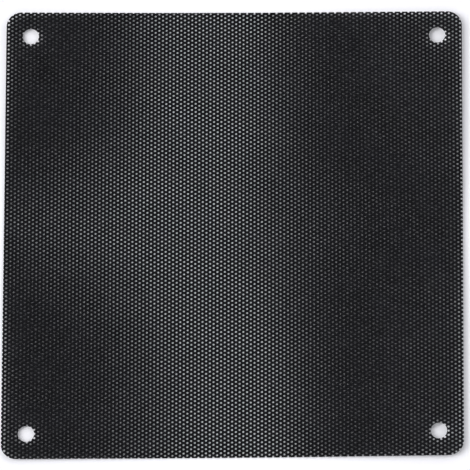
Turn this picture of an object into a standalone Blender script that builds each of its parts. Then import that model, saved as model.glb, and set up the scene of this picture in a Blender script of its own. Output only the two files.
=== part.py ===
"""Dust filter for a square case fan: one sheet of black perforated PVC.

The sheet is laid out flat, as it is cut: a honeycomb of cells trimmed to the rounded
square, with one hole inset into each cell. It is then lifted into the curl in which it
lies on a table, resting along its middle, with a screw hole through each corner.

Metres, +Z up, +Y towards the top edge. The origin is at the centre of the underside.
"""

import math

import bmesh
import bpy
from mathutils import Matrix, Vector

MM = 0.001

# Sheet, measured flat
SHEET_WIDTH = 140.0 * MM
SHEET_HEIGHT = 140.0 * MM
SHEET_THICKNESS = 0.45 * MM
CORNER_RADIUS = 5.0 * MM
CORNER_FACETS = 6

# Screw holes, one in each corner: on this sheet their centres lie 125 mm apart
SCREW_HOLE_INSET = 7.5 * MM
SCREW_HOLE_DIAMETER = 5.0 * MM
SCREW_HOLE_SIDES = 32
SCREW_HOLE_LAND = 1.0 * MM
PUNCH_OVERSHOOT = 1.0 * MM

# Perforation: the real holes stand closer, and one cell here takes the place of a patch of them
TRUE_PITCH = 1.30 * MM
TRUE_HOLE_DIAMETER = 0.66 * MM
TRUE_PITCHES_PER_CELL = 7
SMALLEST_CUT_CELL = 0.45

# Curl: the sheet rests on a band along its middle, which leans and bows to the left half way up
BAND_MIDDLE = -3.7 * MM
BAND_WIDTH = 12.0 * MM
BAND_LEAN = math.radians(3.9)
BAND_BOW = 8.8 * MM

# Beyond the band each side bends up in an arc and runs on straight, and sags back half way up
BEND_WIDTH = 15.0 * MM
LEFT_RADIUS = 925.0 * MM
RIGHT_RADIUS = 640.0 * MM
LEFT_SAG = 0.63
RIGHT_SAG = 0.50
SAG_MIDDLE = 3.3 * MM
SAG_REACH = 27.0 * MM

# The left side rises more towards the top edge and the right side towards the bottom edge
TWIST = 0.11

# Points that lie closer than this are one point, and edges that turn more than this are sharp
MERGE = 0.001 * MM
SHARP_ANGLE = math.radians(30.0)

SCREW_X = SHEET_WIDTH / 2.0 - SCREW_HOLE_INSET
SCREW_Y = SHEET_HEIGHT / 2.0 - SCREW_HOLE_INSET
PITCH = TRUE_PITCH * TRUE_PITCHES_PER_CELL
COLUMN_STEP = PITCH * math.sqrt(3.0) / 2.0
CELL_AREA = PITCH * COLUMN_STEP
CELL_CORNER = PITCH / math.sqrt(3.0)
OPEN_SHARE = math.pi * (TRUE_HOLE_DIAMETER / 2.0) ** 2 / (TRUE_PITCH**2 * math.sqrt(3.0) / 2.0)
HOLE_SCALE = math.sqrt(OPEN_SHARE)


def clear_scene():
    """Take away whatever the scene holds."""
    for obj in list(bpy.data.objects):
        bpy.data.objects.remove(obj, do_unlink=True)


def new_collection(name):
    """A collection of that name, linked to the scene."""
    collection = bpy.data.collections.new(name)
    bpy.context.scene.collection.children.link(collection)
    return collection


def pvc_material():
    """Matte black soft PVC."""
    material = bpy.data.materials.new("black_pvc")
    material.use_nodes = True
    shader = material.node_tree.nodes["Principled BSDF"]
    shader.inputs["Base Color"].default_value = (0.014, 0.014, 0.016, 1.0)
    shader.inputs["Roughness"].default_value = 0.5
    shader.inputs["Metallic"].default_value = 0.0
    return material


def curled(point):
    """Where a point of the flat sheet lies once the sheet is curled. The bend is so slight
    that the point goes straight up."""
    half_way = math.exp(-(((point.y - SAG_MIDDLE) / SAG_REACH) ** 2))
    across = point.x - BAND_MIDDLE + BAND_BOW * half_way
    across = across * math.cos(BAND_LEAN) + point.y * math.sin(BAND_LEAN)
    past_band = max(abs(across) - BAND_WIDTH / 2.0, 0.0)
    bent = min(past_band, BEND_WIDTH)
    rise = bent * (past_band - bent / 2.0)
    twist = TWIST * point.y / (SHEET_HEIGHT / 2.0)
    if across < 0.0:
        lift = rise / LEFT_RADIUS * (1.0 - LEFT_SAG * half_way) * (1.0 + twist)
    else:
        lift = rise / RIGHT_RADIUS * (1.0 - RIGHT_SAG * half_way) * (1.0 - twist)
    return point + Vector((0.0, 0.0, lift))


def screw_centres():
    """Centres of the four screw holes on the flat sheet."""
    return [Vector((x, y, 0.0)) for x in (-SCREW_X, SCREW_X) for y in (-SCREW_Y, SCREW_Y)]


def add_cells(bm):
    """Cover the sheet with flat-topped hexagons, in columns that are half a cell out of step."""
    columns = math.ceil(SHEET_WIDTH / 2.0 / COLUMN_STEP)
    rows = math.ceil(SHEET_HEIGHT / 2.0 / PITCH)
    first_corner_on_x = Matrix.Rotation(math.radians(30.0), 4, "Z")
    for column in range(-columns - 1, columns + 1):
        for row in range(-rows - 1, rows + 1):
            x = (column + 0.5) * COLUMN_STEP
            y = (row + 0.5 * (column % 2)) * PITCH
            bmesh.ops.create_circle(
                bm,
                cap_ends=True,
                segments=6,
                radius=CELL_CORNER,
                matrix=Matrix.Translation((x, y, 0.0)) @ first_corner_on_x,
            )
    bmesh.ops.remove_doubles(bm, verts=bm.verts, dist=MERGE)


def trim_to_outline(bm):
    """Cut the cells back to the rounded square, one tangent line at a time."""
    flat_x = SHEET_WIDTH / 2.0 - CORNER_RADIUS
    flat_y = SHEET_HEIGHT / 2.0 - CORNER_RADIUS
    tangents = 4 * CORNER_FACETS
    for i in range(tangents):
        angle = 2.0 * math.pi * i / tangents
        normal = Vector((math.cos(angle), math.sin(angle), 0.0))
        reach = flat_x * abs(normal.x) + flat_y * abs(normal.y) + CORNER_RADIUS
        bmesh.ops.bisect_plane(
            bm,
            geom=bm.verts[:] + bm.edges[:] + bm.faces[:],
            dist=MERGE,
            plane_co=normal * reach,
            plane_no=normal,
            clear_outer=True,
        )


def stays_solid(cell):
    """Whether a cell has no hole: it is mostly cut away, at a screw hole or out beyond one."""
    if cell.calc_area() < SMALLEST_CUT_CELL * CELL_AREA:
        return True
    middle = cell.calc_center_median()
    if abs(middle.x) > SCREW_X and abs(middle.y) > SCREW_Y:
        return True
    clear = SCREW_HOLE_DIAMETER / 2.0 + SCREW_HOLE_LAND + CELL_CORNER * HOLE_SCALE
    return any((middle - centre).length < clear for centre in screw_centres())


def open_cells(bm):
    """Open a hole in the middle of each cell, in the cell's own shape."""
    cells = [cell for cell in bm.faces if not stays_solid(cell)]
    bmesh.ops.inset_individual(bm, faces=cells, thickness=0.0)
    for cell in cells:
        bmesh.ops.scale(
            bm,
            verts=cell.verts,
            vec=(HOLE_SCALE, HOLE_SCALE, 1.0),
            space=Matrix.Translation(-cell.calc_center_median()),
        )
    bmesh.ops.delete(bm, geom=cells, context="FACES")


def thicken_and_curl(bm):
    """Give the flat net its thickness, then bend it in triangles, which stay plane."""
    grown = bmesh.ops.extrude_face_region(bm, geom=bm.faces[:], use_keep_orig=True)
    top = [item for item in grown["geom"] if isinstance(item, bmesh.types.BMVert)]
    bmesh.ops.translate(bm, verts=top, vec=(0.0, 0.0, SHEET_THICKNESS))
    bmesh.ops.recalc_face_normals(bm, faces=bm.faces)
    bmesh.ops.triangulate(bm, faces=bm.faces)
    for vertex in bm.verts:
        vertex.co = curled(vertex.co)


def screw_punches(collection):
    """An upright round punch through each corner of the curled sheet."""
    punches = []
    for number, centre in enumerate(screw_centres(), start=1):
        middle = centre + Vector((0.0, 0.0, SHEET_THICKNESS / 2.0))
        bpy.ops.mesh.primitive_cylinder_add(
            vertices=SCREW_HOLE_SIDES,
            radius=SCREW_HOLE_DIAMETER / 2.0,
            depth=SHEET_THICKNESS + 2.0 * PUNCH_OVERSHOOT,
            location=curled(middle),
        )
        punch = bpy.context.active_object
        punch.name = f"screw_punch_{number}"
        for owner in list(punch.users_collection):
            owner.objects.unlink(punch)
        collection.objects.link(punch)
        punch.hide_render = True
        punch.display_type = "WIRE"
        punches.append(punch)
    return punches


def filter_sheet(collection, punches):
    """The whole filter: one perforated sheet with its screw holes."""
    mesh = bpy.data.meshes.new("filter_sheet")
    bm = bmesh.new()
    add_cells(bm)
    trim_to_outline(bm)
    open_cells(bm)
    thicken_and_curl(bm)
    bm.to_mesh(mesh)
    bm.free()
    mesh.shade_smooth()
    mesh.set_sharp_from_angle(angle=SHARP_ANGLE)
    mesh.materials.append(pvc_material())
    sheet = bpy.data.objects.new("filter_sheet", mesh)
    collection.objects.link(sheet)
    for punch in punches:
        cut = sheet.modifiers.new(punch.name, "BOOLEAN")
        cut.operation = "DIFFERENCE"
        cut.solver = "EXACT"
        cut.object = punch
    return sheet


def build():
    """Build the filter from an empty scene."""
    clear_scene()
    parts = new_collection("fan_dust_filter")
    cutters = new_collection("cutters")
    filter_sheet(parts, screw_punches(cutters))


build()
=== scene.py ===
"""Looks of a fan dust filter: one curled sheet of black perforated PVC, lying on a white table.

The sheet is laid out flat at the true pitch of its holes, cut to the rounded square with four
screw holes, curled as it lies, and shown in strips that meet along its length.
Metres, +Z up, +Y towards the top edge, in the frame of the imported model.
"""

import logging
import math
from dataclasses import dataclass, field
from enum import Enum
from typing import Any, Iterable, Sequence

import bmesh
import bpy
import numpy as np
from mathutils import Matrix, Vector


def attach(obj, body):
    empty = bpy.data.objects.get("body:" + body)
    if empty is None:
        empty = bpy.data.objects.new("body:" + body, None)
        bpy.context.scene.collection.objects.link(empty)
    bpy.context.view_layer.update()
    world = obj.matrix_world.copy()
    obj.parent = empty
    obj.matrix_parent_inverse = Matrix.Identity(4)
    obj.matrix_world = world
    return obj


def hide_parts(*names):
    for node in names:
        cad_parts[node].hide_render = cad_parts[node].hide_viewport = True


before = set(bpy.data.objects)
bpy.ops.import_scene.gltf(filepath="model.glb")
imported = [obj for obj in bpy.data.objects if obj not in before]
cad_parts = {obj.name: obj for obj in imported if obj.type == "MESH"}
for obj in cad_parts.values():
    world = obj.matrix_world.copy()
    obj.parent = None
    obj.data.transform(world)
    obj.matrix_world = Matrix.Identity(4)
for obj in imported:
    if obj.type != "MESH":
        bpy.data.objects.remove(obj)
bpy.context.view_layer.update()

MM = 0.001
IMAGE_SIDE = 470
SHEET_NODE = "filter_sheet"
BODY = "root"
BAKE_MAP = "OFBake"
WEB_SIDES = 6

# Sockets that share a name with another one, and so go by their number
MIX_FIRST_COLOUR, MIX_SECOND_COLOUR, MIX_COLOUR = 6, 7, 2
MIX_FIRST_SHADER, MIX_SECOND_SHADER = 1, 2

log = logging.getLogger("fan_dust_filter")

Colour = tuple[float, float, float]
Pair = tuple[float, float]
Places = np.ndarray | float

WHITE: Colour = (1.0, 1.0, 1.0)


def points_among(geometry: Iterable) -> list[bmesh.types.BMVert]:
    """The points among the elements that an operator has made."""
    return [item for item in geometry if isinstance(item, bmesh.types.BMVert)]


def add_to_scene(bm: bmesh.types.BMesh, name: str) -> bpy.types.Object:
    """Make an object of what was built, and link it to the scene.

    Args:
        bm: What was built, which is used up.
        name: What the object and its mesh are called.

    Returns:
        The object.
    """
    mesh = bpy.data.meshes.new(name)
    bm.to_mesh(mesh)
    bm.free()
    piece = bpy.data.objects.new(name, mesh)
    bpy.context.scene.collection.objects.link(piece)
    return piece


class Cut(Enum):
    """What a cutting tool does to the sheet."""

    KEEP_INSIDE = "INTERSECT"
    TAKE_AWAY = "DIFFERENCE"


class Wire:
    """An output socket of a shader graph that takes part in arithmetic."""

    def __init__(self, graph: "Graph", socket: bpy.types.NodeSocket | None) -> None:
        """Keep the socket and the graph that it belongs to."""
        self.graph = graph
        self.socket = socket

    def __add__(self, other: "Wire | float") -> "Wire":
        """Sum of two values."""
        return self.graph.math("ADD", self, other)

    def __sub__(self, other: "Wire | float") -> "Wire":
        """This value less the other."""
        return self.graph.math("SUBTRACT", self, other)

    def __rsub__(self, other: float) -> "Wire":
        """A number less this value."""
        return self.graph.math("SUBTRACT", other, self)

    def __mul__(self, other: "Wire | float") -> "Wire":
        """Product of two values."""
        return self.graph.math("MULTIPLY", self, other)

    __radd__ = __add__
    __rmul__ = __mul__


class Graph:
    """A node tree, emptied and built up again one node at a time."""

    def __init__(self, owner: "bpy.types.Material | bpy.types.World") -> None:
        """Take over the node tree of a material or of the world.

        Args:
            owner: The data block whose nodes are built.
        """
        owner.use_nodes = True
        self.tree = owner.node_tree
        self.tree.nodes.clear()

    def node(
        self,
        kind: str,
        settings: dict[str, Any] | None = None,
        sockets: dict[str | int, Any] | None = None,
        output: str | int = 0,
    ) -> Wire:
        """Add a node of any kind.

        Args:
            kind: The node's type.
            settings: Its properties, set first. The key stops fills a colour ramp.
            sockets: Values or wires for its input sockets.
            output: The output socket that is handed back.

        Returns:
            The wire from that output.
        """
        node = self.tree.nodes.new(kind)
        for name, value in (settings or {}).items():
            if name == "stops":
                for stop, (place, shade) in zip(node.color_ramp.elements, value):
                    stop.position = place
                    stop.color = (shade, shade, shade, 1.0)
            else:
                setattr(node, name, value)
        for name, value in (sockets or {}).items():
            if isinstance(value, Wire):
                self.tree.links.new(value.socket, node.inputs[name])
            else:
                node.inputs[name].default_value = value
        return Wire(self, node.outputs[output] if node.outputs else None)

    def math(self, operation: str, first: "Wire | float", second: "Wire | float") -> Wire:
        """A Math node on two values.

        Args:
            operation: The node's operation.
            first: The first value.
            second: The second value.

        Returns:
            The wire with the result.
        """
        return self.node("ShaderNodeMath", {"operation": operation}, {0: first, 1: second})

    def noise(self, place: Wire, grain: float, detail: float, roughness: float = 0.5) -> Wire:
        """Noise whose spots are about a given length across.

        Args:
            place: The coordinates that it is read at.
            grain: The length of a spot, in metres.
            detail: How many finer layers it has.
            roughness: How strong the finer layers are.

        Returns:
            The wire with the noise, from 0 to 1.
        """
        sockets = {"Vector": place, "Scale": 1.0 / grain, "Detail": detail, "Roughness": roughness}
        return self.node("ShaderNodeTexNoise", None, sockets)

    def ramp(self, value: Wire, low: float, high: float) -> Wire:
        """Stretch the span from low to high over 0 to 1.

        Args:
            value: The value to stretch.
            low: Where the result is 0.
            high: Where the result is 1.

        Returns:
            The wire with the stretched value.
        """
        settings = {"stops": ((low, 0.0), (high, 1.0))}
        return self.node("ShaderNodeValToRGB", settings, {"Fac": value})

    def blend(self, share: Wire, first: Colour, second: Colour) -> Wire:
        """Mix two colours.

        Args:
            share: How much of the second colour shows.
            first: The first colour.
            second: The second colour.

        Returns:
            The wire with the colour.
        """
        settings = {"data_type": "RGBA"}
        colours = {MIX_FIRST_COLOUR: (*first, 1.0), MIX_SECOND_COLOUR: (*second, 1.0)}
        return self.node("ShaderNodeMix", settings, {"Factor": share, **colours}, MIX_COLOUR)


@dataclass(frozen=True)
class SoftPvc:
    """Black soft PVC with a satin skin, a fine pebbled grain and a faint greyish bloom."""

    deep: Colour = (0.0022, 0.0022, 0.0030)
    bloom: Colour = (0.0058, 0.0058, 0.0074)
    bloom_grain: float = 9.0 * MM
    bloom_detail: float = 3.0
    bloom_span: Pair = (0.36, 0.66)
    speck_grain: float = 0.9 * MM
    speck_detail: float = 2.0
    speck_span: Pair = (0.42, 0.72)
    speck_share: float = 0.35
    pebble_grain: float = 0.16 * MM
    pebble_detail: float = 2.0
    pebble_roughness: float = 0.6
    pebble_height: float = 0.012 * MM
    pebble_strength: float = 0.5
    roughness: float = 0.55
    roughness_swing: float = 0.16
    sheen_level: float = 0.08

    def material(self) -> bpy.types.Material:
        """Build the finish.

        Returns:
            The material for the sheet.
        """
        material = bpy.data.materials.new("soft_pvc")
        graph = Graph(material)
        place = graph.node("ShaderNodeTexCoord", output="Object")
        cloud, speck = (
            graph.ramp(graph.noise(place, grain, detail), *span)
            for grain, detail, span in (
                (self.bloom_grain, self.bloom_detail, self.bloom_span),
                (self.speck_grain, self.speck_detail, self.speck_span),
            )
        )
        worn = (1.0 - self.speck_share) * cloud + self.speck_share * speck
        pebble = graph.noise(place, self.pebble_grain, self.pebble_detail, self.pebble_roughness)
        bump = graph.node(
            "ShaderNodeBump",
            None,
            {
                "Height": pebble,
                "Strength": self.pebble_strength,
                "Distance": self.pebble_height,
            },
        )
        shader = graph.node(
            "ShaderNodeBsdfPrincipled",
            None,
            {
                "Base Color": graph.blend(worn, self.deep, self.bloom),
                "Roughness": self.roughness + (worn - 0.5) * self.roughness_swing,
                "Specular IOR Level": self.sheen_level,
                "Normal": bump,
            },
        )
        graph.node("ShaderNodeOutputMaterial", None, {"Surface": shader})
        return material


@dataclass(frozen=True)
class WhiteCard:
    """Matte white card that the filter lies on."""

    colour: Colour = (0.94, 0.94, 0.95)

    def material(self) -> bpy.types.Material:
        """Build the finish.

        Returns:
            The material for the table.
        """
        material = bpy.data.materials.new("white_card")
        graph = Graph(material)
        shader = graph.node("ShaderNodeBsdfDiffuse", None, {"Color": (*self.colour, 1.0)})
        graph.node("ShaderNodeOutputMaterial", None, {"Surface": shader})
        return material


@dataclass(frozen=True)
class Perforation:
    """Round holes in columns, each column half a step out of line with the next."""

    pitch: float = 1.3026 * MM
    hole: float = 0.71 * MM
    hole_sides: int = 12

    # How much lower the web is at a hole's rim than half way to the next hole
    crown: float = 0.05 * MM

    # Fitted to the photograph: the columns stand a little wider apart than the rows would have
    # it, and the whole pattern is turned and shifted against the sheet's edges
    stretch: float = 1.0033
    turn: float = math.radians(0.213)
    middle_hole: Pair = (-0.053 * MM, -0.463 * MM)

    @property
    def column_step(self) -> float:
        """Distance from one column to the next."""
        return self.pitch * math.sqrt(3.0) / 2.0

    @property
    def cell_corner(self) -> float:
        """Distance from a hole's centre to the corners of the web round it."""
        return self.pitch / math.sqrt(3.0)


@dataclass(frozen=True)
class Skew:
    """How far a rough cut is out of square: the shift of each corner."""

    top_left: Pair
    top_right: Pair
    bottom_left: Pair
    bottom_right: Pair
    reach: float = 70.0 * MM

    def shift(self, x: Places, y: Places) -> tuple[Places, Places]:
        """How far places on the sheet are shifted, evened out between the corners.

        Args:
            x: Places across the sheet.
            y: Places along the sheet.

        Returns:
            The shift across and the shift along, for each place.
        """
        right, top = 0.5 + 0.5 * x / self.reach, 0.5 + 0.5 * y / self.reach
        across, along = (
            top * ((1.0 - right) * self.top_left[i] + right * self.top_right[i])
            + (1.0 - top) * ((1.0 - right) * self.bottom_left[i] + right * self.bottom_right[i])
            for i in range(2)
        )
        return across, along


@dataclass(frozen=True)
class Curl:
    """How the sheet rests: on a band along its middle, with both sides bent up.

    The band leans a little and bows to the left half way up. Beyond it each side bends up in
    an arc and runs on straight, and half way up both sides sag back towards the table. The
    left side rises more towards the top edge, and the right side towards the bottom edge.
    """

    band_middle: float = -3.7 * MM
    band_width: float = 12.0 * MM
    band_lean: float = math.radians(3.9)
    band_bow: float = 8.8 * MM
    bend_width: float = 15.0 * MM
    left_radius: float = 925.0 * MM
    right_radius: float = 640.0 * MM
    left_sag: float = 0.63
    right_sag: float = 0.50
    sag_middle: float = 3.3 * MM
    sag_reach: float = 27.0 * MM
    twist: float = 0.11
    twist_reach: float = 70.0 * MM

    def lift(self, x: np.ndarray, y: np.ndarray) -> np.ndarray:
        """How far the sheet is lifted off the table.

        Args:
            x: Places across the sheet.
            y: Places along the sheet.

        Returns:
            The lift at each place.
        """
        half_way = np.exp(-(((y - self.sag_middle) / self.sag_reach) ** 2))
        across = x - self.band_middle + self.band_bow * half_way
        across = across * math.cos(self.band_lean) + y * math.sin(self.band_lean)
        past_band = np.maximum(np.abs(across) - self.band_width / 2.0, 0.0)
        bent = np.minimum(past_band, self.bend_width)
        rise = bent * (past_band - bent / 2.0)
        twist = self.twist * y / self.twist_reach
        left = rise / self.left_radius * (1.0 - self.left_sag * half_way) * (1.0 + twist)
        right = rise / self.right_radius * (1.0 - self.right_sag * half_way) * (1.0 - twist)
        return np.where(across < 0.0, left, right)


@dataclass
class PerforatedSheet:
    """The whole filter: one sheet, punched with fine holes and four screw holes."""

    width: float = 140.0 * MM
    height: float = 140.0 * MM
    thickness: float = 0.45 * MM
    corner_radius: float = 4.6 * MM
    corner_segments: int = 12
    screw_inset: float = 7.5 * MM
    screw_hole: float = 5.0 * MM
    screw_hole_sides: int = 64
    strips: int = 5
    spare_pairs: int = 2
    merge: float = 0.002 * MM
    smooth_angle: float = math.radians(85.0)
    tool_margin: float = 1.0 * MM

    # Out of square as in the photograph: the sheet itself, and what was cut from it
    stock_skew: Skew = Skew(
        top_left=(-0.10 * MM, 0.46 * MM),
        top_right=(0.03 * MM, 0.06 * MM),
        bottom_left=(-0.31 * MM, -0.29 * MM),
        bottom_right=(0.03 * MM, 0.31 * MM),
    )
    edge_skew: Skew = Skew(
        top_left=(-0.05 * MM, 0.38 * MM),
        top_right=(0.42 * MM, 0.04 * MM),
        bottom_left=(0.04 * MM, -0.29 * MM),
        bottom_right=(0.42 * MM, -0.31 * MM),
    )
    screw_skew: Skew = Skew(
        top_left=(-0.06 * MM, 0.22 * MM),
        top_right=(0.34 * MM, 0.04 * MM),
        bottom_left=(0.15 * MM, -0.07 * MM),
        bottom_right=(0.39 * MM, -0.16 * MM),
    )
    perforation: Perforation = field(default_factory=Perforation)
    curl: Curl = field(default_factory=Curl)
    finish: SoftPvc = field(default_factory=SoftPvc)

    def build(self) -> list[bpy.types.Object]:
        """Build every strip of the sheet and dress it.

        Returns:
            The strips, from left to right.
        """
        material = self.finish.material()
        edges = [self.width * (i / self.strips - 0.5) for i in range(self.strips + 1)]
        pieces = []
        for number, (left, right) in enumerate(zip(edges, edges[1:]), start=1):
            piece = self.strip(f"filter_sheet_strip_{number}", left, right)
            self.bend(piece.data)
            self.map_for_bake(piece.data)
            piece.data.shade_smooth()
            piece.data.set_sharp_from_angle(angle=self.smooth_angle)
            piece.data.materials.clear()
            piece.data.materials.append(material)
            pieces.append(piece)
        return pieces

    def cell(self, bm: bmesh.types.BMesh, x: float, y: float) -> None:
        """Add one hole and the web round it, open at the web's middle.

        Args:
            bm: The mesh that it is added to.
            x: The hole's centre.
            y: The hole's centre.
        """
        holes = self.perforation
        rim_height = self.thickness - holes.crown
        web = self.ring(bm, WEB_SIDES, holes.cell_corner, (x, y, self.thickness))
        rim = self.ring(bm, holes.hole_sides, holes.hole / 2.0, (x, y, rim_height))
        rim_edges = self.edges_of(rim)
        bmesh.ops.bridge_loops(bm, edges=self.edges_of(web) + rim_edges)
        foot = points_among(bmesh.ops.extrude_edge_only(bm, edges=rim_edges)["geom"])
        bmesh.ops.translate(bm, verts=foot, vec=(0.0, 0.0, -rim_height))
        ground = self.ring(bm, WEB_SIDES, holes.cell_corner, (x, y, 0.0))
        bmesh.ops.bridge_loops(bm, edges=self.edges_of(ground) + self.edges_of(foot))

    @staticmethod
    def ring(
        bm: bmesh.types.BMesh, sides: int, radius: float, centre: Sequence[float]
    ) -> list[bmesh.types.BMVert]:
        """Add a level ring with a corner due left and right, as the webs round the holes have.

        Args:
            bm: The mesh that it is added to.
            sides: How many sides it has.
            radius: From its centre to its corners.
            centre: Where its centre lies.

        Returns:
            The ring's points.
        """
        corner_on_x = Matrix.Rotation(math.pi / WEB_SIDES, 4, "Z")
        place = Matrix.Translation(centre) @ corner_on_x
        return bmesh.ops.create_circle(bm, segments=sides, radius=radius, matrix=place)["verts"]

    @staticmethod
    def edges_of(ring: Sequence[bmesh.types.BMVert]) -> list[bmesh.types.BMEdge]:
        """The edges that join the points of a ring to each other, each once and in order."""
        joined = (e for v in ring for e in v.link_edges if e.other_vert(v) in ring)
        return list(dict.fromkeys(joined))

    def patch(self, left: float, right: float) -> bpy.types.Object:
        """A closed slab of perforated sheet that reaches past a strip on every side.

        Args:
            left: The strip's left side.
            right: The strip's right side.

        Returns:
            The slab, before it is cut.
        """
        holes = self.perforation
        pair_step = 2.0 * holes.column_step
        margin = self.spare_pairs * pair_step
        first = math.floor((left - margin) / pair_step)
        pairs = math.ceil((right + margin) / pair_step) - first
        half_rows = math.ceil((self.height / 2.0 + margin) / holes.pitch)
        bm = bmesh.new()
        for column in range(2):
            x = first * pair_step + column * holes.column_step
            self.cell(bm, x, (0.5 * column - half_rows) * holes.pitch)
        bmesh.ops.remove_doubles(bm, verts=bm.verts, dist=self.merge)
        bmesh.ops.recalc_face_normals(bm, faces=bm.faces)
        piece = add_to_scene(bm, "patch")
        self.repeat(piece, 2 * half_rows + 1, (0.0, holes.pitch, 0.0))
        self.repeat(piece, pairs, (pair_step, 0.0, 0.0))
        self.settle(piece)
        self.close_border(piece.data)
        piece.data.transform(
            Matrix.Translation((*holes.middle_hole, 0.0))
            @ Matrix.Rotation(holes.turn, 4, "Z")
            @ Matrix.Scale(holes.stretch, 4, (1.0, 0.0, 0.0))
        )
        return piece

    def repeat(self, piece: bpy.types.Object, count: int, step: Sequence[float]) -> None:
        """Repeat a piece in a row and join the copies where they meet.

        Args:
            piece: The object that gets the row.
            count: How many there are in the row.
            step: The way from one to the next.
        """
        row = piece.modifiers.new("row", "ARRAY")
        row.count = count
        row.use_relative_offset = False
        row.use_constant_offset = True
        row.constant_offset_displace = step
        row.use_merge_vertices = True
        row.merge_threshold = self.merge

    def close_border(self, mesh: bpy.types.Mesh) -> None:
        """Close the slab's outer sides, from its upper border down to its lower one.

        Args:
            mesh: The slab's mesh, changed in place.
        """
        bm = bmesh.new()
        bm.from_mesh(mesh)
        middle = self.thickness / 2.0
        border = [
            e for e in bm.edges if e.is_boundary and all(v.co.z > middle for v in e.verts)
        ]
        lower = points_among(bmesh.ops.extrude_edge_only(bm, edges=border)["geom"])
        bmesh.ops.translate(bm, verts=lower, vec=(0.0, 0.0, -self.thickness))
        bmesh.ops.remove_doubles(bm, verts=bm.verts, dist=self.merge)
        bmesh.ops.recalc_face_normals(bm, faces=bm.faces)
        bm.to_mesh(mesh)
        bm.free()

    def outline(self, left: float, right: float) -> bpy.types.Object:
        """A block with the sheet's outline, between two upright planes.

        The sheet's own edges are out of square, so a plane that lies on one of them cuts nothing.

        Args:
            left: The plane that bounds it on the left.
            right: The plane that bounds it on the right.

        Returns:
            The block.
        """
        bm = bmesh.new()
        bmesh.ops.create_grid(bm, x_segments=1, y_segments=1, size=0.5)
        bmesh.ops.scale(bm, vec=(self.width, self.height, 1.0), verts=bm.verts)
        for corner in bm.verts:
            corner.co.xy += Vector(self.edge_skew.shift(corner.co.x, corner.co.y))
        bmesh.ops.bevel(
            bm,
            geom=bm.verts[:],
            affect="VERTICES",
            offset=self.corner_radius,
            offset_type="OFFSET",
            segments=self.corner_segments,
            profile=0.5,
            material=-1,
        )
        for side, plane in ((-1.0, left), (1.0, right)):
            on_own_edge = math.isclose(abs(plane), self.width / 2.0)
            if not on_own_edge:
                bmesh.ops.bisect_plane(
                    bm,
                    geom=bm.verts[:] + bm.edges[:] + bm.faces[:],
                    plane_co=(plane, 0.0, 0.0),
                    plane_no=(side, 0.0, 0.0),
                    clear_outer=True,
                )
        return self.tool(bm, "outline")

    def punch(self, x: float, y: float) -> bpy.types.Object:
        """A round punch for a screw hole.

        Args:
            x: The hole's centre.
            y: The hole's centre.

        Returns:
            The punch.
        """
        across, along = self.screw_skew.shift(x, y)
        bm = bmesh.new()
        bmesh.ops.create_circle(
            bm,
            cap_ends=True,
            segments=self.screw_hole_sides,
            radius=self.screw_hole / 2.0,
            matrix=Matrix.Translation((x + across, y + along, 0.0)),
        )
        return self.tool(bm, "punch")

    def tool(self, bm: bmesh.types.BMesh, name: str) -> bpy.types.Object:
        """Give a flat outline enough height to cut right through the sheet.

        Args:
            bm: The flat outline, which is used up.
            name: What the tool is called.

        Returns:
            The tool.
        """
        grown = bmesh.ops.extrude_face_region(bm, geom=bm.faces[:], use_keep_orig=True)
        top = points_among(grown["geom"])
        bmesh.ops.translate(bm, verts=bm.verts[:], vec=(0.0, 0.0, -self.tool_margin))
        rise = self.thickness + 2.0 * self.tool_margin
        bmesh.ops.translate(bm, verts=top, vec=(0.0, 0.0, rise))
        bmesh.ops.recalc_face_normals(bm, faces=bm.faces)
        return add_to_scene(bm, name)

    def strip(self, name: str, left: float, right: float) -> bpy.types.Object:
        """One strip of the flat sheet, cut to shape.

        Args:
            name: The piece's name.
            left: Its left side.
            right: Its right side.

        Returns:
            The strip.
        """
        piece = self.patch(left, right)
        piece.name = name
        piece.data.name = name
        self.cut(piece, self.outline(left, right), Cut.KEEP_INSIDE)
        across = self.width / 2.0 - self.screw_inset
        along = self.height / 2.0 - self.screw_inset
        reach = self.screw_hole
        for x in (-across, across):
            if left - reach < x < right + reach:
                for y in (-along, along):
                    self.cut(piece, self.punch(x, y), Cut.TAKE_AWAY)
        return piece

    def cut(self, piece: bpy.types.Object, tool: bpy.types.Object, how: Cut) -> None:
        """Cut a piece with a tool, which is then put away.

        Args:
            piece: The piece that is cut.
            tool: The closed solid that cuts it.
            how: Which side of the tool stays.
        """
        cut = piece.modifiers.new(tool.name, "BOOLEAN")
        cut.operation = how.value
        cut.solver = "MANIFOLD"
        cut.object = tool
        self.settle(piece)
        bpy.data.objects.remove(tool, do_unlink=True)

    @staticmethod
    def settle(piece: bpy.types.Object) -> None:
        """Apply a piece's modifiers to its mesh.

        Args:
            piece: The object, which keeps no modifier.
        """
        bpy.context.view_layer.update()
        depsgraph = bpy.context.evaluated_depsgraph_get()
        mesh = bpy.data.meshes.new_from_object(piece.evaluated_get(depsgraph))
        piece.modifiers.clear()
        old = piece.data
        piece.data = mesh
        bpy.data.meshes.remove(old)

    def bend(self, mesh: bpy.types.Mesh) -> None:
        """Shift the flat sheet out of square and lift its sides, as the curl says.

        Args:
            mesh: The mesh, changed in place.
        """
        co = np.empty(len(mesh.vertices) * 3, np.float32)
        mesh.vertices.foreach_get("co", co)
        across, along = self.stock_skew.shift(co[0::3], co[1::3])
        co[0::3] += across
        co[1::3] += along
        co[2::3] += self.curl.lift(co[0::3], co[1::3])
        mesh.vertices.foreach_set("co", co)
        mesh.update()

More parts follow.
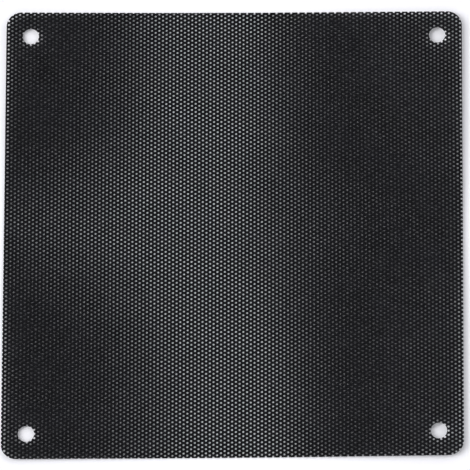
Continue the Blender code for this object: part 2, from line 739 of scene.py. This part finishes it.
    def map_for_bake(self, mesh: bpy.types.Mesh) -> None:
        """Lay the mesh out as it is seen from above, to fill the square of the map.

        Args:
            mesh: The mesh that gets the map.
        """
        for layer in list(mesh.uv_layers):
            mesh.uv_layers.remove(layer)
        corner_vertex = np.empty(len(mesh.loops), np.int32)
        mesh.loops.foreach_get("vertex_index", corner_vertex)
        co = np.empty(len(mesh.vertices) * 3, np.float32)
        mesh.vertices.foreach_get("co", co)
        flat = co.reshape(-1, 3)[:, :2]
        low, high = flat.min(axis=0), flat.max(axis=0)
        uv = ((flat - low) / (high - low))[corner_vertex]
        mesh.uv_layers.new(name=BAKE_MAP).data.foreach_set("uv", uv.ravel())


@dataclass
class Table:
    """The white ground under the filter."""

    side: float = 8.0
    finish: WhiteCard = field(default_factory=WhiteCard)

    def build(self) -> bpy.types.Object:
        """Lay the table just under the sheet.

        Returns:
            The table's top.
        """
        bm = bmesh.new()
        bmesh.ops.create_grid(bm, x_segments=1, y_segments=1, size=self.side / 2.0)
        table = add_to_scene(bm, "table")
        table.data.materials.append(self.finish.material())
        return table


@dataclass(frozen=True)
class SoftLight:
    """A broad, soft light, far enough away to light the whole table alike."""

    name: str
    bearing: float
    lean: float
    spread: float
    strength: float
    colour: Colour = (0.97, 0.965, 1.0)

    def hang(self) -> None:
        """Hang the light on its bearing, leaning away from straight above."""
        light = bpy.data.lights.new(self.name, "SUN")
        light.angle = math.radians(self.spread)
        light.energy = self.strength
        light.color = self.colour
        lamp = bpy.data.objects.new(self.name, light)
        lamp.rotation_euler = (0.0, math.radians(self.lean), math.radians(self.bearing))
        bpy.context.scene.collection.objects.link(lamp)


@dataclass
class Studio:
    """Soft lights from every side, strongest from the left, in a dim room, and the camera."""

    # Bearing, lean and spread are in degrees
    lights: tuple[SoftLight, ...] = (
        SoftLight("main_light", bearing=180.0, lean=33.0, spread=36.0, strength=1.29),
        SoftLight("side_light", bearing=180.0, lean=62.0, spread=40.0, strength=1.54),
        SoftLight("fill_light", bearing=20.0, lean=55.0, spread=44.0, strength=0.77),
        SoftLight("front_light", bearing=270.0, lean=50.0, spread=50.0, strength=0.62),
        SoftLight("back_light", bearing=90.0, lean=50.0, spread=50.0, strength=0.62),
    )
    room_colour: Colour = (0.90, 0.93, 1.0)
    room_strength: float = 0.18

    # The white walls fade out between these heights, where straight up is 1
    wall_top: Pair = (0.45, 0.70)

    # The camera was fitted to the sheet's corners and screw holes in the photograph. Its turns
    # are in degrees, about X, Y and Z
    camera_distance: float = 1.957
    focal_pixels: float = 6389.0
    camera_turns: tuple[float, float, float] = (-14.649, -2.108, 0.321)
    camera_shift: Pair = (-0.699 * MM, 0.363 * MM)
    sensor: float = 36.0

    def build(self) -> None:
        """Light the room, hang the soft lights and set up the camera."""
        self.light_room()
        for light in self.lights:
            light.hang()
        self.place_camera()

    def light_room(self) -> None:
        """Fill the room with dim light, and show its walls as white."""
        world = bpy.data.worlds.new("room")
        bpy.context.scene.world = world
        graph = Graph(world)
        seen = sum(
            graph.node("ShaderNodeLightPath", output=ray)
            for ray in ("Is Camera Ray", "Is Glossy Ray", "Is Transmission Ray")
        )
        way = graph.node("ShaderNodeTexCoord", output="Generated")
        height = graph.node("ShaderNodeSeparateXYZ", None, {"Vector": way}, output="Z")
        wall = 1.0 - graph.ramp(height, *self.wall_top)
        room, white = (
            graph.node("ShaderNodeBackground", None, {"Color": (*colour, 1.0), "Strength": power})
            for colour, power in ((self.room_colour, self.room_strength), (WHITE, 1.0))
        )
        shown = graph.node(
            "ShaderNodeMixShader",
            None,
            {"Fac": seen * wall, MIX_FIRST_SHADER: room, MIX_SECOND_SHADER: white},
        )
        graph.node("ShaderNodeOutputWorld", None, {"Surface": shown})

    def place_camera(self) -> None:
        """Look at the sheet as the photograph does."""
        tip, lean, roll = (math.radians(turn) for turn in self.camera_turns)
        turned = (
            Matrix.Rotation(roll, 4, "Z")
            @ Matrix.Rotation(lean, 4, "Y")
            @ Matrix.Rotation(tip, 4, "X")
        )
        place = Matrix.Translation((*self.camera_shift, -self.camera_distance))
        data = bpy.data.cameras.new("camera")
        data.sensor_width = self.sensor
        data.lens = self.focal_pixels * self.sensor / IMAGE_SIDE
        camera = bpy.data.objects.new("camera", data)
        camera.matrix_world = (place @ turned).inverted()
        bpy.context.scene.collection.objects.link(camera)
        bpy.context.scene.camera = camera


def main() -> None:
    """Build the filter, its table and the studio."""
    logging.basicConfig(level=logging.INFO, format="%(name)s: %(message)s")
    bpy.context.scene.view_settings.view_transform = "Standard"
    for piece in PerforatedSheet().build():
        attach(piece, BODY)
        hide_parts(SHEET_NODE)
        triangles = sum(len(face.vertices) - 2 for face in piece.data.polygons)
        log.info("%s: %d triangles", piece.name, triangles)
    Table().build()
    Studio().build()


if __name__ == "__main__":
    main()
